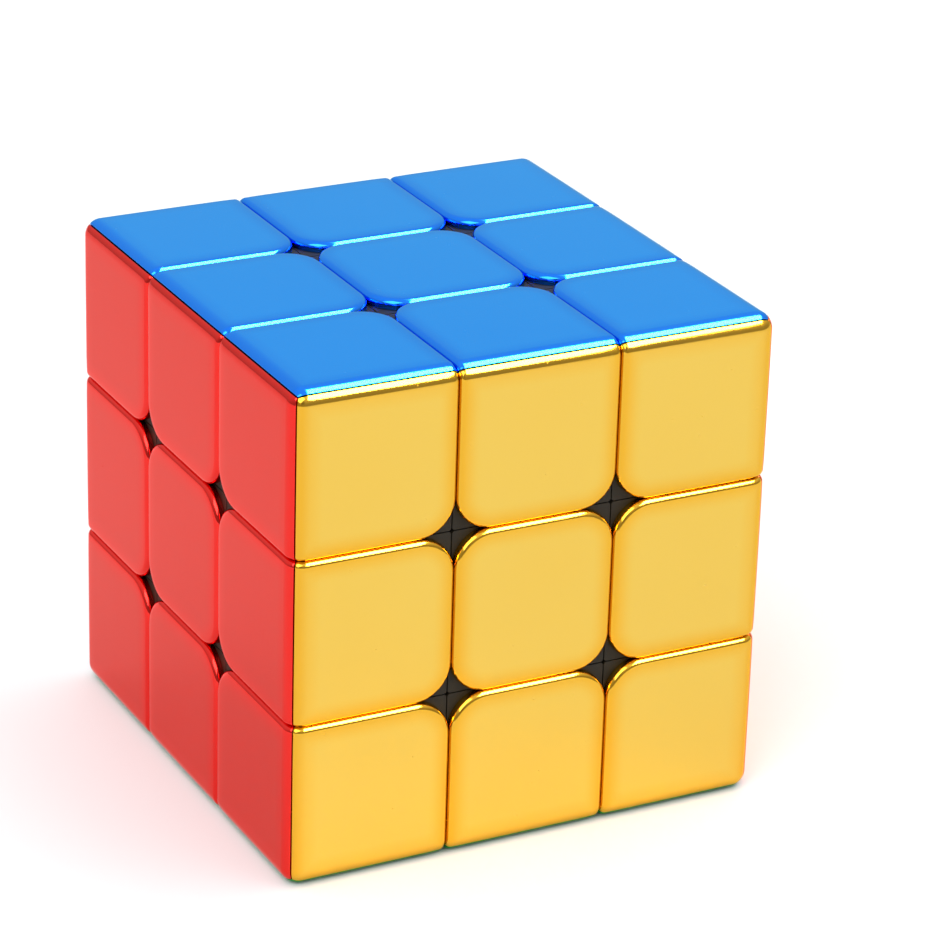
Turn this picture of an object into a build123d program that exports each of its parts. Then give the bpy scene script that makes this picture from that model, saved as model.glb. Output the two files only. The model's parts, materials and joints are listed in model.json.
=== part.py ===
from build123d import *

import os

# Twisty puzzle cube, three layers each way, with metallic tiles pressed onto black working parts.
#
# Frame: the origin is the middle of the core, where all six turning axes cross. +Z is up through the blue
# face, -Y is the yellow front and -X is the red left side. All lengths are in millimetres.
#
# Every moving piece is bounded by the same surfaces, and that is what lets any face turn: planes at +-CUT
# outside the track sphere, planes at +-FOOT_CUT inside it, and the track sphere itself. Feet reach past
# CUT inside the sphere, so the edges hold the corners in and the centres hold the edges in.
#
# Each kind of piece is modelled once, on the top face or at +X +Y +Z, and copied to its places.

# --- whole cube -----------------------------------------------------------------------------------
CUBE = 57.0  # length of the cube's edge
TILE_GAP = 0.12  # gap between neighbouring tiles
BODY_GAP = 0.14  # gap between neighbouring black bodies
TOLERANCE = 0.01  # for picking faces and edges by their place

# --- tiles ----------------------------------------------------------------------------------------
CUBE_ROUND = 2.0  # rounding along the cube's own edges
SEAM_ROUND = 0.7  # rounding of a tile's rim at a seam
TILE_CORNER = 4.2  # a tile's corner where four tiles meet
PLATE = 1.2  # thickness of a tile
BLANK = 3.0  # thickness that a tile is rounded at, before it is cut down to its plate
MITRE_GAP = 0.05  # between two tiles along the cube's edge
GLUE_GAP = 0.05  # between a tile and the body it covers
PEG_RADIUS = 0.9
PEG_LENGTH = 2.6
PEG_INSET = 3.2  # from a tile's rim to the middle of a peg

# --- track and feet -------------------------------------------------------------------------------
TRACK_RADIUS = 20.0  # underside of the centres and edges
TRACK_CLEARANCE = 0.3  # between that underside and the feet
FOOT_CUT = 6.4  # planes that part the feet, inside the track sphere
FOOT_GAP = 0.3  # between neighbouring feet
FOOT_DEPTH = 3.2  # thickness of a foot along the radius
FOOT_ROUND = 0.8
NECK_LAP = 1.5  # how far inside the track sphere the square part of a neck ends

# --- black bodies ---------------------------------------------------------------------------------
BODY_CORNER = 0.3
BODY_WALL = 1.7  # around the hollow
BODY_FLOOR = 1.3  # between the hollow and the track
HOLLOW_CORNER = 2.0
BOSS_RADIUS = 1.8  # sockets for the tiles' pegs
SOCKET_CLEARANCE = 0.05
SOCKET_DEPTH = 3.0

# --- core, screws and springs; heights are measured outwards from the middle of the core ------------
HUB_RADIUS = 7.0
ARM_RADIUS = 4.6
ARM_END = 9.0
PIVOT_RADIUS = 2.7  # boss on each arm that a centre turns on
PIVOT_HEIGHT = 1.2
PIVOT_CLEARANCE = 0.08
PIVOT_HEADROOM = 0.3
BORE_RADIUS = 1.5
BORE_FLOOR = 2.4
SCREW_TIP = 3.0
SCREW_RADIUS = 1.46
THREAD_DEPTH = 0.25
THREAD_PITCH = 0.9
THREAD_END = 9.6
HEAD_RADIUS = 2.8
HEAD_HEIGHT = 1.6
HEAD_ROUND = 0.4
RECESS_LENGTH = 3.0
RECESS_WIDTH = 0.75
RECESS_DEPTH = 1.0
WASHER_RADIUS = 3.2
WASHER_THICKNESS = 0.5
SPRING_SEAT = 11.8
SPRING_LENGTH = 6.2
SPRING_TURNS = 5
SPRING_RADIUS = 2.5
WIRE_RADIUS = 0.28
SPRING_CLEARANCE = 0.02  # at each end of a spring
STEM_RADIUS = 5.4
CUP_RADIUS = 3.6
SCREW_HOLE_RADIUS = 1.62
SEAT_GAP = 0.05  # between a stem and the arm that it stands on

# --- worked out from those ------------------------------------------------------------------------
HALF = CUBE / 2
CUT = CUBE / 6  # planes that part the layers
TILE_LOW = CUT + TILE_GAP / 2  # near side of a tile in an outer layer
TILE_HALF = CUT - TILE_GAP / 2  # half the width of a tile in a middle layer
TILE_LENGTH = HALF - TILE_LOW
BODY_LOW = CUT + BODY_GAP / 2
BODY_HALF = CUT - BODY_GAP / 2
PLATE_Z = HALF - PLATE
BLANK_Z = HALF - BLANK
BODY_TOP = PLATE_Z - GLUE_GAP
FOOT_LOW = FOOT_CUT + FOOT_GAP / 2
FOOT_HALF = FOOT_CUT - FOOT_GAP / 2
FOOT_OUTER = TRACK_RADIUS - TRACK_CLEARANCE
FOOT_INNER = FOOT_OUTER - FOOT_DEPTH
SHELL_RADIUS = TRACK_RADIUS + BODY_FLOOR  # rounded floor inside the hollow bodies
NECK_END = TRACK_RADIUS - NECK_LAP
POCKET_LOW = BODY_LOW + BODY_WALL
POCKET_HALF = BODY_HALF - BODY_WALL
PEG_LOW = TILE_LOW + PEG_INSET
PEG_HIGH = PLATE_Z - PEG_INSET - PEG_LENGTH
PEG_HALF = TILE_HALF - PEG_INSET
SOCKET_RADIUS = PEG_RADIUS + SOCKET_CLEARANCE
WASHER_Z = SPRING_SEAT + SPRING_LENGTH
HEAD_Z = WASHER_Z + WASHER_THICKNESS
STEM_LOW = ARM_END + SEAT_GAP
PIVOT_TOP = ARM_END + PIVOT_HEIGHT

LOW_CORNER = (Align.MIN, Align.MIN, Align.MIN)
LOW_SQUARE = (Align.MIN, Align.MIN)
UNDERSIDE = Plane.XY.offset(PLATE_Z)
MITRE_SIDE = Plane(origin=(0, 0, 0), x_dir=(0, 1, 0), z_dir=(-1, 0, 1)).offset(MITRE_GAP / 2)
MITRE_BACK = Plane(origin=(0, 0, 0), x_dir=(1, 0, 0), z_dir=(0, -1, 1)).offset(MITRE_GAP / 2)

# Faces that the pieces at +X +Z and at +X +Y +Z carry tiles on, with x and y as on the top face
EDGE_SIDES = [Plane.XY, Plane(origin=(0, 0, 0), x_dir=(0, 0, 1), z_dir=(1, 0, 0))]
CORNER_SIDES = [Plane.XY, Plane.YZ, Plane.ZX]

CENTRE_PEGS = [(x, y) for x in (-PEG_HALF, PEG_HALF) for y in (-PEG_HALF, PEG_HALF)]
EDGE_PEGS = [(PEG_LOW, -PEG_HALF), (PEG_LOW, PEG_HALF), (PEG_HIGH, 0)]
CORNER_PEGS = [(PEG_LOW, PEG_LOW), (PEG_LOW, PEG_HIGH), (PEG_HIGH, PEG_LOW)]

# Each face is a plane whose z points out of the cube and whose y points up the face as seen from outside.
FACES = {
    "top": ("blue", Plane(origin=(0, 0, 0), x_dir=(1, 0, 0), z_dir=(0, 0, 1))),
    "bottom": ("green", Plane(origin=(0, 0, 0), x_dir=(1, 0, 0), z_dir=(0, 0, -1))),
    "front": ("yellow", Plane(origin=(0, 0, 0), x_dir=(1, 0, 0), z_dir=(0, -1, 0))),
    "back": ("white", Plane(origin=(0, 0, 0), x_dir=(-1, 0, 0), z_dir=(0, 1, 0))),
    "left": ("red", Plane(origin=(0, 0, 0), x_dir=(0, -1, 0), z_dir=(-1, 0, 0))),
    "right": ("orange", Plane(origin=(0, 0, 0), x_dir=(0, 1, 0), z_dir=(1, 0, 0))),
}

# Turns about each face's own z that put a piece made at +X, or at +X +Y, in its place
EDGE_PLACES = {
    "edge_top_right": ("top", 0),
    "edge_top_back": ("top", 90),
    "edge_top_left": ("top", 180),
    "edge_top_front": ("top", 270),
    "edge_front_right": ("front", 0),
    "edge_front_left": ("front", 180),
    "edge_back_left": ("back", 0),
    "edge_back_right": ("back", 180),
    "edge_bottom_right": ("bottom", 0),
    "edge_bottom_front": ("bottom", 90),
    "edge_bottom_left": ("bottom", 180),
    "edge_bottom_back": ("bottom", 270),
}
CORNER_PLACES = {
    "corner_top_back_right": ("top", 0),
    "corner_top_back_left": ("top", 90),
    "corner_top_front_left": ("top", 180),
    "corner_top_front_right": ("top", 270),
    "corner_bottom_front_right": ("bottom", 0),
    "corner_bottom_front_left": ("bottom", 90),
    "corner_bottom_back_left": ("bottom", 180),
    "corner_bottom_back_right": ("bottom", 270),
}

# Tiles that turn together and share a colour: the turns of their edge tiles, then of their corner tiles
LEVEL_GROUPS = {
    "edges": ((0, 90, 180, 270), ()),
    "corners": ((), (0, 90, 180, 270)),
}
UPRIGHT_GROUPS = {
    "top_row": ((90,), (0, 90)),
    "middle_row": ((0, 180), ()),
    "bottom_row": ((270,), (180, 270)),
}


# --- selectors ------------------------------------------------------------------------------------
def top_edges(faces):
    """The edges that some side faces share with the top face."""
    return ShapeList([edge for face in faces for edge in face.edges() if edge.center().Z > HALF - TOLERANCE])


def rim_edges(tile, outward):
    """The upper edges of a tile's seam walls: its upright faces, apart from those that look outward."""
    upright = tile.faces().filter_by(lambda face: abs(face.normal_at().Z) < TOLERANCE)
    walls = [face for face in upright if all(face.normal_at().dot(way) < 0.5 for way in outward)]
    rim = ShapeList()
    for edge in tile.edges():
        uses = sum(any(edge.is_same(other) for other in wall.edges()) for wall in walls)
        if uses == 1 and edge.center().Z > BLANK_Z + TOLERANCE:
            rim.append(edge)
    return rim


# --- tiles, on the top face -----------------------------------------------------------------------
def make_centre_tile():
    """Square plate, rounded all round, with a peg near each corner."""
    with BuildPart() as tile:
        with BuildSketch(UNDERSIDE):
            RectangleRounded(2 * TILE_HALF, 2 * TILE_HALF, TILE_CORNER)
        extrude(amount=PLATE)
        fillet(tile.edges().group_by(Axis.Z)[-1], SEAM_ROUND)
        with BuildSketch(UNDERSIDE):
            with Locations(*CENTRE_PEGS):
                Circle(PEG_RADIUS)
        extrude(amount=-PEG_LENGTH)
    return tile.part


def make_edge_tile():
    """Plate beside the top face's +X edge: seams on three sides, and a mitre along the cube's edge."""
    with BuildPart() as tile:
        with BuildSketch(Plane.XY.offset(BLANK_Z)) as outline:
            with Locations((TILE_LOW, 0)):
                Rectangle(TILE_LENGTH, 2 * TILE_HALF, align=(Align.MIN, Align.CENTER))
            fillet(outline.vertices().group_by(Axis.X)[0], TILE_CORNER)
        extrude(amount=BLANK)
        outer_side = tile.faces().sort_by(Axis.X)[-1:]
        fillet(top_edges(outer_side), CUBE_ROUND)
        fillet(rim_edges(tile, [Vector(1, 0, 0)]), SEAM_ROUND)
        split(bisect_by=UNDERSIDE, keep=Keep.TOP)
        split(bisect_by=MITRE_SIDE, keep=Keep.TOP)
        with BuildSketch(UNDERSIDE):
            with Locations(*EDGE_PEGS):
                Circle(PEG_RADIUS)
        extrude(amount=-PEG_LENGTH)
    return tile.part


def make_corner_tile():
    """Plate in the top face's +X +Y corner: seams on two sides, and mitres along two edges of the cube."""
    with BuildPart() as tile:
        with BuildSketch(Plane.XY.offset(BLANK_Z)) as outline:
            with Locations((TILE_LOW, TILE_LOW)):
                Rectangle(TILE_LENGTH, TILE_LENGTH, align=LOW_SQUARE)
            fillet(outline.vertices().sort_by_distance((0, 0))[0], TILE_CORNER)
        extrude(amount=BLANK)
        outer_sides = tile.faces().sort_by(Axis.X)[-1:] + tile.faces().sort_by(Axis.Y)[-1:]
        cube_corner = tile.edges().filter_by(Axis.Z).sort_by_distance((HALF, HALF, HALF))[:1]
        fillet(top_edges(outer_sides) + cube_corner, CUBE_ROUND)
        fillet(rim_edges(tile, [Vector(1, 0, 0), Vector(0, 1, 0)]), SEAM_ROUND)
        split(bisect_by=UNDERSIDE, keep=Keep.TOP)
        split(bisect_by=MITRE_SIDE, keep=Keep.TOP)
        split(bisect_by=MITRE_BACK, keep=Keep.TOP)
        with BuildSketch(UNDERSIDE):
            with Locations(*CORNER_PEGS):
                Circle(PEG_RADIUS)
        extrude(amount=-PEG_LENGTH)
    return tile.part


# --- black bodies ---------------------------------------------------------------------------------
def make_edge_block(low, half_width, top, rounding):
    """Square bar at +X +Z, rounded where it comes to four-tile junctions."""
    with BuildPart() as block:
        with Locations((low, 0, low)):
            Box(top - low, 2 * half_width, top - low, align=(Align.MIN, Align.CENTER, Align.MIN))
        upright = block.edges().filter_by(Axis.Z).group_by(Axis.X)[0]
        level = block.edges().filter_by(Axis.X).group_by(Axis.Z)[0]
        fillet(upright + level, rounding)
    return block.part


def make_corner_block(low, top, rounding):
    """Cube at +X +Y +Z, rounded along the three edges that meet nearest the core."""
    with BuildPart() as block:
        with Locations((low, low, low)):
            Box(top - low, top - low, top - low, align=LOW_CORNER)
        fillet(block.edges().sort_by_distance((0, 0, 0))[:3], rounding)
    return block.part


def make_foot(block):
    """The part of a block that runs inside the track sphere."""
    with BuildPart() as foot:
        add(block)
        Sphere(FOOT_OUTER, mode=Mode.INTERSECT)
    return foot.part


def make_pocket(block, sides, pegs):
    """Hollow of a body: a block above the rounded floor, around the bosses for the tiles' pegs."""
    with BuildPart() as pocket:
        add(block)
        Sphere(SHELL_RADIUS, mode=Mode.SUBTRACT)
        for side in sides:
            with BuildSketch(side.offset(HALF)):
                with Locations(*pegs):
                    Circle(BOSS_RADIUS)
            extrude(amount=CUT - HALF, mode=Mode.SUBTRACT)
    return pocket.part


def make_peg_holes(sides, pegs):
    """Holes for the pegs of all the tiles that a body carries."""
    with BuildPart() as holes:
        for side in sides:
            with BuildSketch(side.offset(PLATE_Z)):
                with Locations(*pegs):
                    Circle(SOCKET_RADIUS)
            extrude(amount=-SOCKET_DEPTH)
    return holes.part


def make_edge_body():
    """Hollow block under two tiles, with a neck and a foot that runs in the track."""
    foot = make_foot(make_edge_block(FOOT_LOW, FOOT_HALF, TRACK_RADIUS, FOOT_ROUND))
    hollow = make_edge_block(POCKET_LOW, POCKET_HALF, HALF, HOLLOW_CORNER)
    pocket = make_pocket(hollow, EDGE_SIDES, EDGE_PEGS)
    neck_width = NECK_END - BODY_LOW
    with BuildPart() as body:
        add(make_edge_block(BODY_LOW, BODY_HALF, BODY_TOP, BODY_CORNER))
        Sphere(TRACK_RADIUS, mode=Mode.SUBTRACT)
        add(foot)
        with Locations((BODY_LOW, 0, BODY_LOW)):
            Box(neck_width, 2 * FOOT_HALF, neck_width, align=(Align.MIN, Align.CENTER, Align.MIN))
        Sphere(FOOT_INNER, mode=Mode.SUBTRACT)
        add(pocket, mode=Mode.SUBTRACT)
        add(make_peg_holes(EDGE_SIDES, EDGE_PEGS), mode=Mode.SUBTRACT)
    return body.part


def make_corner_body():
    """Hollow block under three tiles, with a foot that runs in the track."""
    foot = make_foot(make_corner_block(FOOT_LOW, TRACK_RADIUS, FOOT_ROUND))
    pocket = make_pocket(make_corner_block(POCKET_LOW, HALF, HOLLOW_CORNER), CORNER_SIDES, CORNER_PEGS)
    with BuildPart() as body:
        add(make_corner_block(BODY_LOW, BODY_TOP, BODY_CORNER))
        add(foot)
        Sphere(FOOT_INNER, mode=Mode.SUBTRACT)
        add(pocket, mode=Mode.SUBTRACT)
        add(make_peg_holes(CORNER_SIDES, CORNER_PEGS), mode=Mode.SUBTRACT)
    return body.part


def make_square_block(half_width, top, rounding):
    """Square post on the +Z axis, from the cut plane up."""
    with BuildPart() as block:
        with BuildSketch(Plane.XY.offset(CUT)):
            RectangleRounded(2 * half_width, 2 * half_width, rounding)
        extrude(amount=top - CUT)
    return block.part


def make_centre_body():
    """Hollow block under a centre tile, on a stem that holds a spring round the screw."""
    pocket = make_pocket(make_square_block(POCKET_HALF, HALF, HOLLOW_CORNER), [Plane.XY], CENTRE_PEGS)
    with BuildPart() as body:
        add(make_square_block(BODY_HALF, BODY_TOP, BODY_CORNER))
        Sphere(TRACK_RADIUS, mode=Mode.SUBTRACT)
        with BuildSketch(Plane.XY.offset(STEM_LOW)):
            Circle(STEM_RADIUS)
        extrude(amount=SHELL_RADIUS - STEM_LOW)
        add(pocket, mode=Mode.SUBTRACT)
        with BuildSketch(Plane.XY.offset(SPRING_SEAT)):
            Circle(CUP_RADIUS)
        extrude(amount=HALF - SPRING_SEAT, mode=Mode.SUBTRACT)
        with BuildSketch(Plane.XY.offset(STEM_LOW)):
            Circle(PIVOT_RADIUS + PIVOT_CLEARANCE)
        extrude(amount=PIVOT_TOP + PIVOT_HEADROOM - STEM_LOW, mode=Mode.SUBTRACT)
        with BuildSketch(Plane.XY.offset(STEM_LOW)):
            Circle(SCREW_HOLE_RADIUS)
        extrude(amount=SPRING_SEAT - STEM_LOW, mode=Mode.SUBTRACT)
        add(make_peg_holes([Plane.XY], CENTRE_PEGS), mode=Mode.SUBTRACT)
    return body.part


# --- core, screws, washers and springs ------------------------------------------------------------
def make_screw():
    """Pan-head screw with a cross recess, its thread as rings of one pitch."""
    root = SCREW_RADIUS - THREAD_DEPTH
    turns = int((THREAD_END - SCREW_TIP) / THREAD_PITCH)
    outline = [(0, SCREW_TIP), (root, SCREW_TIP)]
    for turn in range(turns):
        ring = SCREW_TIP + turn * THREAD_PITCH
        outline += [(SCREW_RADIUS, ring + THREAD_PITCH / 2), (root, ring + THREAD_PITCH)]
    head_top = HEAD_Z + HEAD_HEIGHT
    outline += [(root, HEAD_Z), (HEAD_RADIUS, HEAD_Z), (HEAD_RADIUS, head_top), (0, head_top)]
    with BuildPart() as screw:
        with BuildSketch(Plane.XZ):
            with BuildLine():
                Polyline(*outline, close=True)
            make_face()
        revolve(axis=Axis.Z)
        fillet(screw.edges().group_by(Axis.Z)[-1], HEAD_ROUND)
        with BuildSketch(Plane.XY.offset(head_top)):
            Rectangle(RECESS_LENGTH, RECESS_WIDTH)
            Rectangle(RECESS_WIDTH, RECESS_LENGTH)
        extrude(amount=-RECESS_DEPTH, mode=Mode.SUBTRACT)
    return screw.part


def make_washer():
    """Flat washer between a spring and its screw's head."""
    with BuildPart() as washer:
        with BuildSketch(Plane.XY.offset(WASHER_Z)):
            Circle(WASHER_RADIUS)
            Circle(SCREW_HOLE_RADIUS, mode=Mode.SUBTRACT)
        extrude(amount=WASHER_THICKNESS)
    return washer.part


def make_spring():
    """Coil spring between the floor of a centre's stem and the washer."""
    start = SPRING_SEAT + WIRE_RADIUS + SPRING_CLEARANCE
    rise = SPRING_LENGTH - 2 * (WIRE_RADIUS + SPRING_CLEARANCE)
    with BuildPart() as spring:
        with BuildLine(Plane.XY.offset(start)) as coil:
            Helix(pitch=rise / SPRING_TURNS, height=rise, radius=SPRING_RADIUS)
        with BuildSketch(Plane(origin=coil.line @ 0, z_dir=coil.line % 0)):
            Circle(WIRE_RADIUS)
        sweep(path=coil.line)
    return spring.part


os.makedirs("parts", exist_ok=True)

with BuildPart() as core:
    Sphere(HUB_RADIUS)
    for colour, face in FACES.values():
        with BuildSketch(face):
            Circle(ARM_RADIUS)
        extrude(amount=ARM_END)
        with BuildSketch(face):
            Circle(PIVOT_RADIUS)
        extrude(amount=PIVOT_TOP)
    for colour, face in FACES.values():
        with BuildSketch(face.offset(BORE_FLOOR)):
            Circle(BORE_RADIUS)
        extrude(amount=ARM_END, mode=Mode.SUBTRACT)
core.part.label = "core"
export_step(core.part, "parts/core.step")

screw = make_screw()
with BuildPart(*[face for colour, face in FACES.values()]) as screws:
    add(screw)
screws.part.label = "screws"
export_step(screws.part, "parts/screws.step")

washer = make_washer()
with BuildPart(*[face for colour, face in FACES.values()]) as washers:
    add(washer)
washers.part.label = "washers"
export_step(washers.part, "parts/washers.step")

coil_spring = make_spring()
centre_body = make_centre_body()
centre_tile = make_centre_tile()
for side, (colour, face) in FACES.items():
    with BuildPart(face) as spring:
        add(coil_spring)
    spring.part.label = f"spring_{side}"
    export_step(spring.part, f"parts/{spring.part.label}.step")
    with BuildPart(face) as centre:
        add(centre_body)
    centre.part.label = f"centre_{side}"
    export_step(centre.part, f"parts/{centre.part.label}.step")
    with BuildPart(face) as tile:
        add(centre_tile)
    tile.part.label = f"{colour}_tile_centre"
    export_step(tile.part, f"parts/{tile.part.label}.step")

edge_body = make_edge_body()
for name, (face, turn) in EDGE_PLACES.items():
    with BuildPart(FACES[face][1]) as edge:
        add(edge_body, rotation=(0, 0, turn))
    edge.part.label = name
    export_step(edge.part, f"parts/{name}.step")

corner_body = make_corner_body()
for name, (face, turn) in CORNER_PLACES.items():
    with BuildPart(FACES[face][1]) as corner:
        add(corner_body, rotation=(0, 0, turn))
    corner.part.label = name
    export_step(corner.part, f"parts/{name}.step")

edge_tile = make_edge_tile()
corner_tile = make_corner_tile()
for side, (colour, face) in FACES.items():
    groups = LEVEL_GROUPS if side in ("top", "bottom") else UPRIGHT_GROUPS
    for group, (edge_turns, corner_turns) in groups.items():
        with BuildPart(face) as tiles:
            for turn in edge_turns:
                add(edge_tile, rotation=(0, 0, turn))
            for turn in corner_turns:
                add(corner_tile, rotation=(0, 0, turn))
        tiles.part.label = f"{colour}_tiles_{group}"
        export_step(tiles.part, f"parts/{tiles.part.label}.step")
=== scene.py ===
import json
import math
import random

import bpy
from mathutils import Matrix, Vector


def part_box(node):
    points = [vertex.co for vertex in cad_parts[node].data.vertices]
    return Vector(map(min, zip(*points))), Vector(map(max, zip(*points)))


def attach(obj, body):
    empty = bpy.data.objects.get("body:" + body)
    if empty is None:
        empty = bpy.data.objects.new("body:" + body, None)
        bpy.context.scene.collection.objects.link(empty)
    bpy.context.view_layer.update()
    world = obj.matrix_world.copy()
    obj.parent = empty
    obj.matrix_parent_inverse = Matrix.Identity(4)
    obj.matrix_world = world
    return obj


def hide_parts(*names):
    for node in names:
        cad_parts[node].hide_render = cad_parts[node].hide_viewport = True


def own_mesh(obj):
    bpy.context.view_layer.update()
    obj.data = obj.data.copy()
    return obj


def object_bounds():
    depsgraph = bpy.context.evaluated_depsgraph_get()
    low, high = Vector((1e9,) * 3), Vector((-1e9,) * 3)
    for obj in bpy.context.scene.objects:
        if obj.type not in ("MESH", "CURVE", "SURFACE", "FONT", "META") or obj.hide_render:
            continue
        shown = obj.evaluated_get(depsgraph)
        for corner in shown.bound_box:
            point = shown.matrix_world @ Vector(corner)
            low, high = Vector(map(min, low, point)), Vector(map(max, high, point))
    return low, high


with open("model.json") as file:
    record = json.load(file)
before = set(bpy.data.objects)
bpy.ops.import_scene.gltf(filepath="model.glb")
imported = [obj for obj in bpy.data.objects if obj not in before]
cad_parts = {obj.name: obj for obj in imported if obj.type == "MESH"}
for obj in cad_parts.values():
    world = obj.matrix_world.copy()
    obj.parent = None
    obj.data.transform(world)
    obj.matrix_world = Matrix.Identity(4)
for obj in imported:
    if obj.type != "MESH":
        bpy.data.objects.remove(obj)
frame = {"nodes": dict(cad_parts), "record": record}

# Twisty puzzle cube: 54 metallic tiles and six springs are remeshed, and the black bodies, core, screws
# and washers are the CAD nodes with new finishes. Lengths are in metres.
# Tiles are made once, on the top face, and turned to their places. Like the CAD nodes, each keeps its
# place in its vertices, so its object sits at the origin and a 3-D texture runs on from tile to tile.

CAD_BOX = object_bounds()
MM = 0.001
HALF = CAD_BOX[1][2]  # half the cube's edge
CUT = HALF / 3  # planes that part the layers
PLATING = 0.04 * MM  # built up round a tile's sides
TILE_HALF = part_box("blue_tile_centre")[1].x + PLATING
TILE_LOW = 2 * CUT - TILE_HALF  # near side of a tile in an outer layer

# --- tile shape -----------------------------------------------------------------------------------
SEAM_ROUND = 0.7 * MM  # rim at a seam
CUBE_ROUND = 2.0 * MM  # rounding along the cube's edges
CORNER_ROUND = 4.2 * MM  # corner where four tiles meet
RIM_ROUND = 0.12 * MM  # softened line along a mitre
MITRE_GAP = 0.10 * MM
PLATE = 1.2 * MM
SHOULDER = 0.035 * MM  # extra fall of the face near its rim
SHOULDER_WIDTH = 2.4 * MM
PAINTED_RIM_SHADE_WIDTH = 2.6 * MM  # band in from a rim where a deeper tint is painted in for the shade and reflections of the neighbouring tiles
CROWN = 0.03 * MM  # fall of the face from its middle to the middle of a side
TILT = math.radians(0.06)  # how far a tile may sit out of true
TILT_SEED = 7
PEG_RADIUS = 0.9 * MM
PEG_LENGTH = 2.6 * MM
PEG_INSET = 3.2 * MM
PEG_SINK = 0.3 * MM  # how far a peg runs up into the plate
PEG_CHAMFER = (0.25 * MM, 0.3 * MM)  # at a peg's tip: off its radius, off its length
SQUEEZE_WIDTH = 4.5 * MM  # band along the cube's edge where the underside draws in to the mitre

# --- springs --------------------------------------------------------------------------------------
SPRING_ACTIVE_TURNS = 4.5
WIRE_RADIUS = 0.28 * MM

# --- fineness of the meshes -----------------------------------------------------------------------
FILLET_STEPS = 7
ARC_STEPS = 7
CORNER_STEPS = 12
STRIP_STEPS = 6  # between a seam's fillet and the corner's radius
FACE_STEP = 1.5 * MM
RIM_LINES = (0.6, 0.25, 0)  # grid lines on the softened line along a mitre, in RIM_ROUNDs
PEG_SIDES = 16
COIL_STEPS = 28  # to a turn of a spring
WIRE_SIDES = 10
CREASE = math.radians(35)  # sharper edges than this are not smoothed over

# --- finishes -------------------------------------------------------------------------------------
LACQUER_WEIGHT = 0.3  # clear lacquer over the plating
LACQUER_ROUGHNESS = 0.03
PLATING_ROUGHNESS = (0.07, 0.15)  # where the haze is thinnest and thickest
CLOUD_AMOUNT = 0.25  # unevenness of the lacquer's tint
WEAR_ROUGHNESS = 0.22  # added on hairlines and dust
HAIRLINES = (((20, 35, 10), 0.6), ((75, -20, 60), 0.5))  # which way each set runs, in degrees, how strong
HAIRLINE_SCALE = (90, 5200, 5200)  # long along the first axis, fine across it
HAIRLINE_DEPTH = 0.002 * MM
RIPPLE_DEPTH = 0.0025 * MM
SWELL_DEPTH = 0.010 * MM
MOULDED_SPECULAR = 0.22
GRAIN_DEPTH = 0.006 * MM
LINE_DEPTH = 0.003 * MM

# --- camera ---------------------------------------------------------------------------------------
CAMERA_AZIMUTH = 27.76  # degrees to the left of the front face
CAMERA_ELEVATION = 23.4
CAMERA_DISTANCE = 446.9 * MM
CAMERA_AIM = Vector((5.55, -0.94, 4.05)) * MM
CAMERA_ROLL = 1.76
CAMERA_LENS = 155.0
CAMERA_SENSOR = 36.0
CAMERA_CLIP_START = 0.01

# --- light ----------------------------------------------------------------------------------------
WORLD_STRENGTH = 1.6
# brightness of the room by the sine of the height above the horizon
FRONT_BANDS = [(0.0, 0.25), (0.25, 0.28), (0.50, 0.50), (0.75, 0.70), (0.95, 0.70)]
BACK_BANDS = [(0.0, 0.36), (0.15, 0.46), (0.40, 0.58), (0.60, 0.60), (0.95, 0.70)]
FRONT_TO_BACK = (-0.5, 0.5)  # along Y, where the front bands give way to the back ones
SILHOUETTE = (7.0, 16.0)  # dimmer place behind the camera: degrees out to its core and its soft rim
SILHOUETTE_DIM = 0.5
# name, place, width along Y, length, power, whether it lights the table and other matt surfaces
LAMPS = [
    ("key", (0.50, -0.20, 1.05), 1.00, 0.60, 2.6, True),
    ("glint", (0.47, -0.44, 0.89), 1.30, 0.45, 44.0, False),
    ("fill", (-0.70, -0.65, 0.90), 0.90, 0.90, 8.8, True),
]
FLOOR_REACH = 3.0
FLOOR_COLOUR = (0.88, 0.88, 0.885, 1)
FLOOR_ROUGHNESS = 0.7
FLOOR_SPECULAR = 0.15

# --- layout ---------------------------------------------------------------------------------------
# each face's colour and its outward and rightward directions, seen from outside; up is their cross
# product
FACES = {
    "top": ("blue", (0, 0, 1), (1, 0, 0)),
    "bottom": ("green", (0, 0, -1), (1, 0, 0)),
    "front": ("yellow", (0, -1, 0), (1, 0, 0)),
    "back": ("white", (0, 1, 0), (-1, 0, 0)),
    "left": ("red", (-1, 0, 0), (0, -1, 0)),
    "right": ("orange", (1, 0, 0), (0, 1, 0)),
}
# turns in degrees, counter-clockwise from outside, of a face's edge and corner tiles
EDGE_TURNS = {"right": 0, "up": 90, "left": 180, "down": 270}
CORNER_TURNS = {"right_up": 0, "left_up": 90, "left_down": 180, "right_down": 270}
BODY_OF = {node: body for body, nodes in frame["record"]["behaviour"]["bodies"].items() for node in nodes}


# --- tile meshes ----------------------------------------------------------------------------------
def fillet_samples(radius, steps):
    """Distances in from a rim at equal angles round its fillet."""
    return [radius * (1 - math.cos(math.pi / 2 * k / steps)) for k in range(steps + 1)]


def seam_samples():
    """Distances in from a seam, fine on the fillet and out to the corner's radius."""
    width = CORNER_ROUND - SEAM_ROUND
    strip = [SEAM_ROUND + width * k / STRIP_STEPS for k in range(1, STRIP_STEPS + 1)]
    return fillet_samples(SEAM_ROUND, FILLET_STEPS) + strip


def mitre_end():
    """How far a face's developed coordinate runs round the cube's edge, to the mitre."""
    return HALF - CUBE_ROUND + CUBE_ROUND * math.pi / 4 - MITRE_GAP / 2


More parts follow.
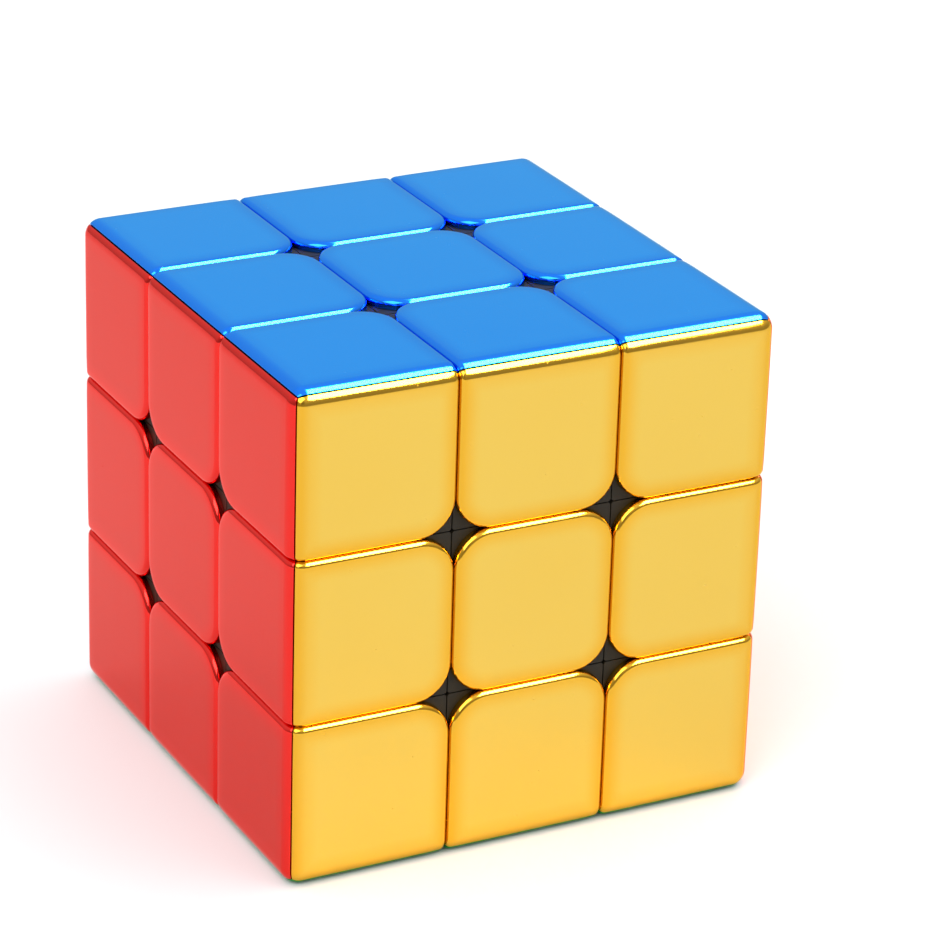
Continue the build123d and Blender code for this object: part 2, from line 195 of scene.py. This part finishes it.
def axis_samples(low, high, high_is_mitre):
    """Grid lines across a tile: fine at a seam or on the arc of the cube's edge, even between them."""
    near = [low + t for t in seam_samples()]
    if high_is_mitre:
        start = HALF - CUBE_ROUND
        length = mitre_end() - start
        far = [start + length * k / ARC_STEPS for k in range(ARC_STEPS)]
        far += [mitre_end() - RIM_ROUND * part for part in RIM_LINES]
    else:
        far = [high - t for t in reversed(seam_samples())]
    count = max(2, round((far[0] - near[-1]) / FACE_STEP))
    middle = [near[-1] + (far[0] - near[-1]) * k / count for k in range(1, count)]
    return near + middle + far


class Sheet:
    """Flat quad mesh of a tile's developed face, with shared vertices."""

    def __init__(self):
        self.index = {}
        self.points = []
        self.faces = []

    def vertex(self, a, b):
        """Number of the vertex at a place, new if there is none."""
        key = (round(a * 1e8), round(b * 1e8))
        if key not in self.index:
            self.index[key] = len(self.points)
            self.points.append((a, b))
        return self.index[key]

    def face(self, corners):
        """Adds a face, without the corners that fall together."""
        loop = []
        for corner in corners:
            vertex = self.vertex(*corner)
            if vertex not in loop:
                loop.append(vertex)
        if len(loop) > 2:
            self.faces.append(loop)


def make_sheet(x_low, x_high, x_mitre, y_low, y_high, y_mitre):
    """Grid over a tile's face, with its corners between two seams replaced by quarter discs."""
    sheet = Sheet()
    a_lines = axis_samples(x_low, x_high, x_mitre)
    b_lines = axis_samples(y_low, y_high, y_mitre)
    rounded = [(sx, sy) for sx in (-1, 1) for sy in (-1, 1)
               if not (sx > 0 and x_mitre) and not (sy > 0 and y_mitre)]

    def in_rounded_corner(a, b):
        for sx, sy in rounded:
            in_x = a < x_low + CORNER_ROUND if sx < 0 else a > x_high - CORNER_ROUND
            in_y = b < y_low + CORNER_ROUND if sy < 0 else b > y_high - CORNER_ROUND
            if in_x and in_y:
                return True
        return False

    for a0, a1 in zip(a_lines, a_lines[1:]):
        for b0, b1 in zip(b_lines, b_lines[1:]):
            if not in_rounded_corner((a0 + a1) / 2, (b0 + b1) / 2):
                sheet.face([(a0, b0), (a1, b0), (a1, b1), (a0, b1)])

    radii = [CORNER_ROUND - t for t in seam_samples()]
    for sx, sy in rounded:
        centre_a = x_low + CORNER_ROUND if sx < 0 else x_high - CORNER_ROUND
        centre_b = y_low + CORNER_ROUND if sy < 0 else y_high - CORNER_ROUND

        def polar(radius, step):
            angle = math.pi / 2 * step / CORNER_STEPS
            return centre_a + sx * radius * math.cos(angle), centre_b + sy * radius * math.sin(angle)

        for r0, r1 in zip(radii, radii[1:]):
            for step in range(CORNER_STEPS):
                quad = [polar(r0, step), polar(r0, step + 1), polar(r1, step + 1), polar(r1, step)]
                sheet.face(quad if sx * sy > 0 else quad[::-1])
    return sheet


def seam_distance(a, b, x_low, x_high, x_mitre, y_low, y_high, y_mitre):
    """Distance in from the nearest seam, round the rounded corners."""
    da = a - x_low if x_mitre else min(a - x_low, x_high - a)
    db = b - y_low if y_mitre else min(b - y_low, y_high - b)
    if da < CORNER_ROUND and db < CORNER_ROUND:
        return CORNER_ROUND - math.hypot(CORNER_ROUND - da, CORNER_ROUND - db)
    return min(da, db)


def fall(distance, radius):
    """Drop of a round fillet at a distance in from its rim."""
    if distance >= radius:
        return 0.0
    return radius - math.sqrt(max(0.0, radius ** 2 - (radius - distance) ** 2))


def smooth(x):
    """Smooth step from 0 to 1."""
    x = min(1.0, max(0.0, x))
    return x * x * (3 - 2 * x)


def squeeze(value, start, end, new_end):
    """Maps start..end onto start..new_end and leaves what is below start."""
    if value <= start:
        return value
    return start + (value - start) * (new_end - start) / (end - start)


def make_tile_mesh(kind):
    """A tile on the top face: skin, underside and walls, and how much painted rim shade each point takes.
    """
    low = TILE_LOW
    limits = {
        "centre": (-TILE_HALF, TILE_HALF, False, -TILE_HALF, TILE_HALF, False),
        "edge": (low, HALF, True, -TILE_HALF, TILE_HALF, False),
        "corner": (low, HALF, True, low, HALF, True),
    }[kind]
    x_low, x_high, x_mitre, y_low, y_high, y_mitre = limits
    sheet = make_sheet(*limits)
    end = mitre_end()
    bend = HALF - CUBE_ROUND
    squeeze_from = HALF - SQUEEZE_WIDTH
    ceiling = HALF - PLATE
    under_end = ceiling - MITRE_GAP / math.sqrt(2)
    middle_a, middle_b = (x_low + x_high) / 2, (y_low + y_high) / 2
    reach = TILE_HALF

    def skin_point(a, b):
        """Point of the outer skin: the cube's rounded surface, let down towards the tile's rims."""
        theta_a = max(0.0, a - bend) / CUBE_ROUND
        theta_b = max(0.0, b - bend) / CUBE_ROUND
        base = Vector((min(a, bend), min(b, bend), bend))
        normal = Vector((math.tan(theta_a), math.tan(theta_b), 1)).normalized()
        distance = seam_distance(a, b, *limits)
        drop = fall(distance, SEAM_ROUND) + SHOULDER * (1 - smooth(distance / SHOULDER_WIDTH))
        drop += CROWN * (((a - middle_a) / reach) ** 2 + ((b - middle_b) / reach) ** 2) / 2
        if x_mitre:
            drop += fall(end - a, RIM_ROUND)
        if y_mitre:
            drop += fall(end - b, RIM_ROUND)
        return base + normal * (CUBE_ROUND - drop)

    def under_point(a, b):
        """The same place on the flat underside, short of the mitres."""
        if x_mitre:
            a = squeeze(a, squeeze_from, end, under_end)
        if y_mitre:
            b = squeeze(b, squeeze_from, end, under_end)
        return Vector((a, b, ceiling))

    count = len(sheet.points)
    points = [skin_point(a, b) for a, b in sheet.points] + [under_point(a, b) for a, b in sheet.points]
    faces = [list(face) for face in sheet.faces]
    faces += [[count + v for v in reversed(face)] for face in sheet.faces]

    edges = [edge for face in sheet.faces for edge in zip(face, face[1:] + face[:1])]
    known = set(edges)
    rim = [(v0, v1) for v0, v1 in edges if (v1, v0) not in known]
    faces += [[v1, v0, count + v0, count + v1] for v0, v1 in rim]
    # painted rim shade: 1 at a rim, easing to 0 across the band; the underside takes 1
    painted_rim_weights = []
    for a, b in sheet.points:
        inset = seam_distance(a, b, *limits)
        if x_mitre:
            inset = min(inset, end - a)
        if y_mitre:
            inset = min(inset, end - b)
        painted_rim_weights.append(1 - smooth(inset / PAINTED_RIM_SHADE_WIDTH))
    painted_rim_weights += [1.0] * (len(points) - count)
    return points, faces, painted_rim_weights


def peg_places(kind):
    """Middles of a tile's pegs on the top face."""
    near = TILE_LOW + PEG_INSET
    far = HALF - PLATE - PEG_INSET - PEG_LENGTH
    side = TILE_HALF - PEG_INSET
    return {
        "centre": [(x, y) for x in (-side, side) for y in (-side, side)],
        "edge": [(near, -side), (near, side), (far, 0)],
        "corner": [(near, near), (near, far), (far, near)],
    }[kind]


def add_pegs(points, faces, places):
    """Closed pegs that stand down from the underside, with chamfered tips."""
    top = HALF - PLATE + PEG_SINK
    tip = HALF - PLATE - PEG_LENGTH
    rings = [(PEG_RADIUS, top), (PEG_RADIUS, tip + PEG_CHAMFER[1]), (PEG_RADIUS - PEG_CHAMFER[0], tip)]
    for x, y in places:
        first = len(points)
        for radius, z in rings:
            for k in range(PEG_SIDES):
                angle = 2 * math.pi * k / PEG_SIDES
                points.append(Vector((x + radius * math.cos(angle), y + radius * math.sin(angle), z)))
        faces.append([first + k for k in range(PEG_SIDES)])
        for ring in range(len(rings) - 1):
            a, b = first + ring * PEG_SIDES, first + (ring + 1) * PEG_SIDES
            for k in range(PEG_SIDES):
                n = (k + 1) % PEG_SIDES
                faces.append([a + n, a + k, b + k, b + n])
        faces.append([first + (len(rings) - 1) * PEG_SIDES + k for k in reversed(range(PEG_SIDES))])


def face_matrix(side):
    """Rotation from the top face to another face."""
    _, outward, right = FACES[side]
    out, across = Vector(outward), Vector(right)
    return Matrix((across, out.cross(across), out)).transposed()


def place_tile(name, shape, side, turn, node, material, rng):
    """One tile in its place, a little out of true, standing for its share of a CAD node."""
    points, faces, painted_rim_weights = shape
    turned = Matrix.Rotation(math.radians(turn), 3, "Z")
    centre = sum(points, Vector()) / len(points)
    lean = Matrix.Rotation(rng.uniform(-TILT, TILT), 3, "X")
    lean = lean @ Matrix.Rotation(rng.uniform(-TILT, TILT), 3, "Y")
    to_face = face_matrix(side) @ turned
    moved = [centre + lean @ (p - centre) for p in points]
    sink = Vector([max(0.0, max(p[axis] for p in moved) - HALF) for axis in range(3)])
    mesh = bpy.data.meshes.new(name)
    mesh.from_pydata([to_face @ (p - sink) for p in moved], [], faces)
    # painted rim shade, read by the plating as a deeper tint along the rims
    painted_rim_shade = mesh.attributes.new("painted_rim_shade", "FLOAT", "POINT")
    painted_rim_shade.data.foreach_set("value", painted_rim_weights)
    mesh.shade_smooth()
    mesh.materials.append(material)
    tile = bpy.data.objects.new(name, mesh)
    bpy.context.scene.collection.objects.link(tile)
    sharp = tile.modifiers.new("creases", "EDGE_SPLIT")
    sharp.split_angle = CREASE
    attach(tile, BODY_OF[node])
    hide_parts(node)


def build_tiles(paints):
    """All 54 tiles, nine to a face."""
    rng = random.Random(TILT_SEED)
    shapes = {}
    for kind in ("centre", "edge", "corner"):
        points, faces, painted_rim_weights = make_tile_mesh(kind)
        add_pegs(points, faces, peg_places(kind))
        painted_rim_weights += [1.0] * (len(points) - len(painted_rim_weights))
        shapes[kind] = (points, faces, painted_rim_weights)
    for side, (colour, _, _) in FACES.items():
        level = side in ("top", "bottom")
        material = paints[colour]
        node = f"{colour}_tile_centre"
        place_tile(f"{colour}_centre_cap", shapes["centre"], side, 0, node, material, rng)
        for place, turn in EDGE_TURNS.items():
            row = "edges" if level else {"up": "top_row", "down": "bottom_row"}.get(place, "middle_row")
            node = f"{colour}_tiles_{row}"
            place_tile(f"{colour}_edge_cap_{place}", shapes["edge"], side, turn, node, material, rng)
        for place, turn in CORNER_TURNS.items():
            row = "corners" if level else {"up": "top_row", "down": "bottom_row"}[place.split("_")[1]]
            node = f"{colour}_tiles_{row}"
            place_tile(f"{colour}_corner_cap_{place}", shapes["corner"], side, turn, node, material, rng)


# --- springs --------------------------------------------------------------------------------------
def coil_height(turn, active_pitch):
    """Height of the wire's middle above the lower end: a closed turn at each end, open turns between."""
    closed = 2 * WIRE_RADIUS
    opened = min(max(turn - 1, 0), SPRING_ACTIVE_TURNS)
    return WIRE_RADIUS + closed * (turn - opened) + active_pitch * opened


def make_spring_mesh(low, high, coil_radius):
    """Round wire coiled about +Z between two heights, with its ends closed off."""
    turns = SPRING_ACTIVE_TURNS + 2  # one closed turn at each end
    taken = 6 * WIRE_RADIUS  # length of the closed turns and the wire's own thickness
    active_pitch = (high - low - taken) / SPRING_ACTIVE_TURNS
    steps = round(turns * COIL_STEPS)
    points, faces = [], []
    for step in range(steps + 1):
        turn = turns * step / steps
        angle = 2 * math.pi * turn
        out = Vector((math.cos(angle), math.sin(angle), 0))
        middle = out * coil_radius + Vector((0, 0, low + coil_height(turn, active_pitch)))
        for side in range(WIRE_SIDES):
            around = 2 * math.pi * side / WIRE_SIDES
            off = out * math.cos(around) + Vector((0, 0, math.sin(around)))
            points.append(middle + off * WIRE_RADIUS)
    for step in range(steps):
        a, b = step * WIRE_SIDES, (step + 1) * WIRE_SIDES
        for k in range(WIRE_SIDES):
            n = (k + 1) % WIRE_SIDES
            faces.append([a + k, b + k, b + n, a + n])
    faces.append(list(range(WIRE_SIDES)))
    faces.append([steps * WIRE_SIDES + k for k in reversed(range(WIRE_SIDES))])
    return points, faces


def build_springs(wire):
    """A spring behind each centre, which is pressed together as that centre lifts."""
    low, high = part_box("spring_top")
    coil_radius = high.x - WIRE_RADIUS
    points, faces = make_spring_mesh(low.z, high.z, coil_radius)
    for side, (_, outward, _) in FACES.items():
        node = f"spring_{side}"
        mesh = bpy.data.meshes.new(f"coil_{side}")
        mesh.from_pydata([face_matrix(side) @ p for p in points], [], faces)
        mesh.shade_smooth()
        mesh.materials.append(wire)
        coil = bpy.data.objects.new(f"coil_{side}", mesh)
        bpy.context.scene.collection.objects.link(coil)
        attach(coil, BODY_OF[node])
        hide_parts(node)
        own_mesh(coil)


# --- materials ------------------------------------------------------------------------------------
def srgb(red, green, blue):
    """Linear colour of an sRGB one given in 0..255."""
    def linear(value):
        value /= 255
        return value / 12.92 if value <= 0.04045 else ((value + 0.055) / 1.055) ** 2.4
    return (linear(red), linear(green), linear(blue), 1.0)


class Shader:
    """Small helper to lay out one procedural material."""

    def __init__(self, name):
        self.material = bpy.data.materials.new(name)
        self.material.use_nodes = True
        self.tree = self.material.node_tree
        self.surface = self.tree.nodes["Principled BSDF"]
        self.place = self.tree.nodes.new("ShaderNodeTexCoord").outputs["Object"]

    def add(self, kind, **settings):
        """New node with some of its properties set."""
        node = self.tree.nodes.new(kind)
        for key, value in settings.items():
            setattr(node, key, value)
        return node

    def link(self, source, target):
        self.tree.links.new(source, target)

    def mapped(self, scale, rotation=(0, 0, 0)):
        """Object coordinates, turned by degrees and scaled."""
        node = self.add("ShaderNodeMapping")
        node.inputs["Scale"].default_value = scale
        node.inputs["Rotation"].default_value = [math.radians(r) for r in rotation]
        self.link(self.place, node.inputs["Vector"])
        return node.outputs["Vector"]

    def noise(self, scale, detail=3.0, roughness=0.5, vector=None):
        node = self.add("ShaderNodeTexNoise")
        node.inputs["Scale"].default_value = scale
        node.inputs["Detail"].default_value = detail
        node.inputs["Roughness"].default_value = roughness
        self.link(vector or self.place, node.inputs["Vector"])
        return node.outputs["Fac"]

    def ramp(self, value, low, high, to_low, to_high):
        """Maps low..high onto to_low..to_high and holds the ends."""
        node = self.add("ShaderNodeMapRange")
        node.inputs["From Min"].default_value = low
        node.inputs["From Max"].default_value = high
        node.inputs["To Min"].default_value = to_low
        node.inputs["To Max"].default_value = to_high
        self.link(value, node.inputs["Value"])
        return node.outputs["Result"]

    def math(self, operation, first, second):
        node = self.add("ShaderNodeMath", operation=operation)
        for socket, value in zip(node.inputs, (first, second)):
            if isinstance(value, (int, float)):
                socket.default_value = value
            else:
                self.link(value, socket)
        return node.outputs["Value"]

    def blend(self, factor, first, second):
        node = self.add("ShaderNodeMix", data_type="RGBA")
        self.link(factor, node.inputs["Factor"])
        node.inputs["A"].default_value = first
        node.inputs["B"].default_value = second
        return node.outputs["Result"]

    def bump(self, height, distance, under=None):
        """Relief of a height in metres, on top of another relief if one is given."""
        node = self.add("ShaderNodeBump")
        node.inputs["Distance"].default_value = distance
        node.inputs["Strength"].default_value = 1.0
        self.link(height, node.inputs["Height"])
        if under is not None:
            self.link(under, node.inputs["Normal"])
        return node.outputs["Normal"]

    def specks(self, scale, size):
        """1 in small round specks scattered at random, 0 elsewhere."""
        node = self.add("ShaderNodeTexVoronoi")
        node.inputs["Scale"].default_value = scale
        self.link(self.place, node.inputs["Vector"])
        return self.ramp(node.outputs["Distance"], size, size * 0.6, 0, 1)

    def scratches(self, rotation, amount):
        """Up to 1 in a few hairlines that run one way, 0 elsewhere."""
        lines = self.noise(scale=1.0, detail=2, vector=self.mapped(HAIRLINE_SCALE, rotation))
        patches = self.noise(scale=160, detail=1)
        fine = self.ramp(lines, 0.70, 0.76, 0, 1)
        where = self.ramp(patches, 0.52, 0.62, 0, amount)
        return self.math("MULTIPLY", fine, where)


def plated(name, tint, deep, edge):
    """Electroplated plastic: tinted bright metal with faint ripple, handling haze, hairlines and dust."""
    shader = Shader(name)
    surface = shader.surface
    surface.inputs["Metallic"].default_value = 1.0
    surface.inputs["Specular Tint"].default_value = edge
    surface.inputs["Coat Weight"].default_value = LACQUER_WEIGHT
    surface.inputs["Coat Roughness"].default_value = LACQUER_ROUGHNESS

    haze = shader.noise(scale=95, detail=4, roughness=0.6)
    cloud = shader.noise(scale=60, detail=2)
    # painted shade and reflections: the tint deepens in a band along each rim, and clouds at random
    painted_rim_shade = shader.add("ShaderNodeAttribute", attribute_name="painted_rim_shade").outputs["Fac"]
    uneven = shader.math("MULTIPLY", cloud, CLOUD_AMOUNT)
    colour = shader.blend(shader.math("ADD", painted_rim_shade, uneven), tint, deep)
    shader.link(colour, surface.inputs["Base Color"])

    rough = shader.ramp(haze, 0.3, 0.7, *PLATING_ROUGHNESS)
    hairlines = [shader.scratches(rotation, amount) for rotation, amount in HAIRLINES]
    marks = shader.math("MAXIMUM", *hairlines)
    dust = shader.specks(scale=420, size=0.05)
    wear = shader.math("MULTIPLY", shader.math("MAXIMUM", marks, dust), WEAR_ROUGHNESS)
    shader.link(shader.math("ADD", rough, wear), surface.inputs["Roughness"])

    ripple = shader.bump(shader.noise(scale=620, detail=2), RIPPLE_DEPTH)
    swell = shader.bump(shader.noise(scale=130, detail=2), SWELL_DEPTH, under=ripple)
    shader.link(shader.bump(marks, -HAIRLINE_DEPTH, under=swell), surface.inputs["Normal"])
    return shader.material


def moulded(name, dark, light, roughness):
    """Black moulded plastic with a fine spark-eroded grain and rubbed, shinier patches."""
    shader = Shader(name)
    surface = shader.surface
    surface.inputs["Specular IOR Level"].default_value = MOULDED_SPECULAR
    patches = shader.noise(scale=170, detail=4, roughness=0.6)
    colour = shader.blend(shader.ramp(patches, 0.35, 0.7, 0, 1), dark, light)
    shader.link(colour, surface.inputs["Base Color"])
    rough = shader.ramp(patches, 0.3, 0.7, roughness - 0.08, roughness + 0.08)
    shader.link(rough, surface.inputs["Roughness"])
    grain = shader.noise(scale=5200, detail=2, roughness=0.6)
    shader.link(shader.bump(grain, GRAIN_DEPTH), surface.inputs["Normal"])
    return shader.material


def steel(name, light, dark, roughness, line_scale):
    """Bright steel with drawing or turning lines and a slightly uneven plating."""
    shader = Shader(name)
    surface = shader.surface
    surface.inputs["Metallic"].default_value = 1.0
    bloom = shader.noise(scale=420, detail=4, roughness=0.6)
    colour = shader.blend(shader.ramp(bloom, 0.35, 0.7, 0, 1), light, dark)
    shader.link(colour, surface.inputs["Base Color"])
    lines = shader.noise(scale=1.0, detail=3, roughness=0.6, vector=shader.mapped(line_scale))
    rough = shader.ramp(lines, 0.3, 0.7, roughness - 0.06, roughness + 0.1)
    shader.link(rough, surface.inputs["Roughness"])
    shader.link(shader.bump(lines, LINE_DEPTH), surface.inputs["Normal"])
    return shader.material


# tints of each plating in sRGB: face on, deeper where rim shade and reflections of neighbouring tiles are
# painted in, and seen edge on
PLATINGS = {
    "blue": ((22, 139, 246), (10, 116, 234), (180, 250, 255)),
    "green": ((30, 152, 66), (14, 130, 48), (200, 255, 210)),
    "yellow": ((213, 180, 79), (215, 163, 39), (255, 238, 170)),
    "white": ((204, 206, 210), (189, 193, 200), (250, 250, 255)),
    "red": ((205, 49, 40), (222, 38, 30), (255, 195, 190)),
    "orange": ((218, 115, 38), (226, 98, 22), (255, 215, 200)),
}


def paint_nodes():
    """Better finishes for the CAD nodes that stay: the black bodies, the core, the screws and washers."""
    black = moulded("black_plastic", srgb(31, 27, 19), srgb(39, 34, 24), roughness=0.55)
    core = moulded("core_plastic", srgb(38, 38, 42), srgb(56, 56, 60), roughness=0.5)
    zinc = steel("zinc_steel", srgb(205, 206, 208), srgb(176, 178, 182), roughness=0.3,
                 line_scale=(900, 900, 4000))
    for name, node in frame["nodes"].items():
        if name.startswith(("edge_", "corner_", "centre_")):
            finish = black
        elif name == "core":
            finish = core
        elif name in ("screws", "washers"):
            finish = zinc
        else:
            continue
        node.data.materials.clear()
        node.data.materials.append(finish)


# --- stage ----------------------------------------------------------------------------------------
def build_floor():
    """Plain white matt table."""
    mesh = bpy.data.meshes.new("floor")
    corners = [(x * FLOOR_REACH, y * FLOOR_REACH, -HALF) for x, y in ((-1, -1), (1, -1), (1, 1), (-1, 1))]
    mesh.from_pydata(corners, [], [(0, 1, 2, 3)])
    floor = bpy.data.objects.new("floor", mesh)
    bpy.context.scene.collection.objects.link(floor)
    shader = Shader("table")
    shader.surface.inputs["Base Color"].default_value = FLOOR_COLOUR
    shader.surface.inputs["Roughness"].default_value = FLOOR_ROUGHNESS
    shader.surface.inputs["Specular IOR Level"].default_value = FLOOR_SPECULAR
    mesh.materials.append(shader.material)


def band_ramp(tree, height, bands):
    """Brightness of the room by the sine of the height above the horizon."""
    node = tree.nodes.new("ShaderNodeValToRGB")
    tree.links.new(height, node.inputs["Fac"])
    while len(node.color_ramp.elements) < len(bands):
        node.color_ramp.elements.new(0.5)
    for element, (position, grey) in zip(node.color_ramp.elements, bands):
        element.position = position
        element.color = (grey, grey, grey, 1)
    return node.outputs["Color"]


def camera_side():
    """Direction from the cube to the camera."""
    azimuth = math.radians(CAMERA_AZIMUTH)
    elevation = math.radians(CAMERA_ELEVATION)
    level = math.cos(elevation)
    return Vector((-math.sin(azimuth) * level, -math.cos(azimuth) * level, math.sin(elevation)))


def build_world():
    """Studio that is dark in front at eye level, pale behind and bright overhead."""
    world = bpy.data.worlds.new("studio")
    world.use_nodes = True
    tree = world.node_tree
    background = tree.nodes["Background"]
    place = tree.nodes.new("ShaderNodeTexCoord").outputs["Generated"]

    way = tree.nodes.new("ShaderNodeSeparateXYZ")
    depth = tree.nodes.new("ShaderNodeMapRange")
    room = tree.nodes.new("ShaderNodeMix")
    room.data_type = "RGBA"
    depth.inputs["From Min"].default_value = FRONT_TO_BACK[0]
    depth.inputs["From Max"].default_value = FRONT_TO_BACK[1]
    tree.links.new(place, way.inputs["Vector"])
    tree.links.new(way.outputs["Y"], depth.inputs["Value"])
    tree.links.new(depth.outputs["Result"], room.inputs["Factor"])
    tree.links.new(band_ramp(tree, way.outputs["Z"], FRONT_BANDS), room.inputs["A"])
    tree.links.new(band_ramp(tree, way.outputs["Z"], BACK_BANDS), room.inputs["B"])
    tree.links.new(room.outputs["Result"], background.inputs["Color"])

    facing = tree.nodes.new("ShaderNodeVectorMath")
    facing.operation = "DOT_PRODUCT"
    facing.inputs[1].default_value = camera_side()
    dim = tree.nodes.new("ShaderNodeMapRange")
    dim.inputs["From Min"].default_value = math.cos(math.radians(SILHOUETTE[1]))
    dim.inputs["From Max"].default_value = math.cos(math.radians(SILHOUETTE[0]))
    dim.inputs["To Min"].default_value = WORLD_STRENGTH
    dim.inputs["To Max"].default_value = WORLD_STRENGTH * SILHOUETTE_DIM
    tree.links.new(place, facing.inputs[0])
    tree.links.new(facing.outputs["Value"], dim.inputs["Value"])
    tree.links.new(dim.outputs["Result"], background.inputs["Strength"])
    bpy.context.scene.world = world


def build_lamps():
    """Soft rectangular lamps that face the cube, with their widths along the world's Y."""
    for name, place, width, length, power, on_table in LAMPS:
        lamp = bpy.data.lights.new(name, "AREA")
        lamp.shape = "RECTANGLE"
        lamp.size = width
        lamp.size_y = length
        lamp.energy = power
        away = Vector(place).normalized()
        across = (Vector((0, 1, 0)) - away * away.y).normalized()
        light = bpy.data.objects.new(name, lamp)
        light.location = place
        light.rotation_euler = Matrix((across, away.cross(across), away)).transposed().to_euler()
        light.visible_diffuse = on_table
        bpy.context.scene.collection.objects.link(light)


def build_camera():
    """Long lens from the front, a little to the left and above."""
    back = camera_side()
    lens = bpy.data.cameras.new("camera")
    lens.lens = CAMERA_LENS
    lens.sensor_width = CAMERA_SENSOR
    lens.clip_start = CAMERA_CLIP_START
    camera = bpy.data.objects.new("camera", lens)
    camera.location = CAMERA_AIM + back * CAMERA_DISTANCE
    roll = Matrix.Rotation(math.radians(CAMERA_ROLL), 4, "Z")
    camera.rotation_euler = (back.to_track_quat("Z", "Y").to_matrix().to_4x4() @ roll).to_euler()
    bpy.context.scene.collection.objects.link(camera)
    bpy.context.scene.camera = camera


bpy.context.scene.view_settings.view_transform = "Standard"
build_camera()
build_world()
build_lamps()
build_floor()
build_tiles({colour: plated(f"{colour}_plating", *(srgb(*shade) for shade in shades))
             for colour, shades in PLATINGS.items()})
build_springs(steel("spring_steel", srgb(180, 182, 186), srgb(150, 152, 156), roughness=0.26,
                    line_scale=(2600, 2600, 2600)))
paint_nodes()
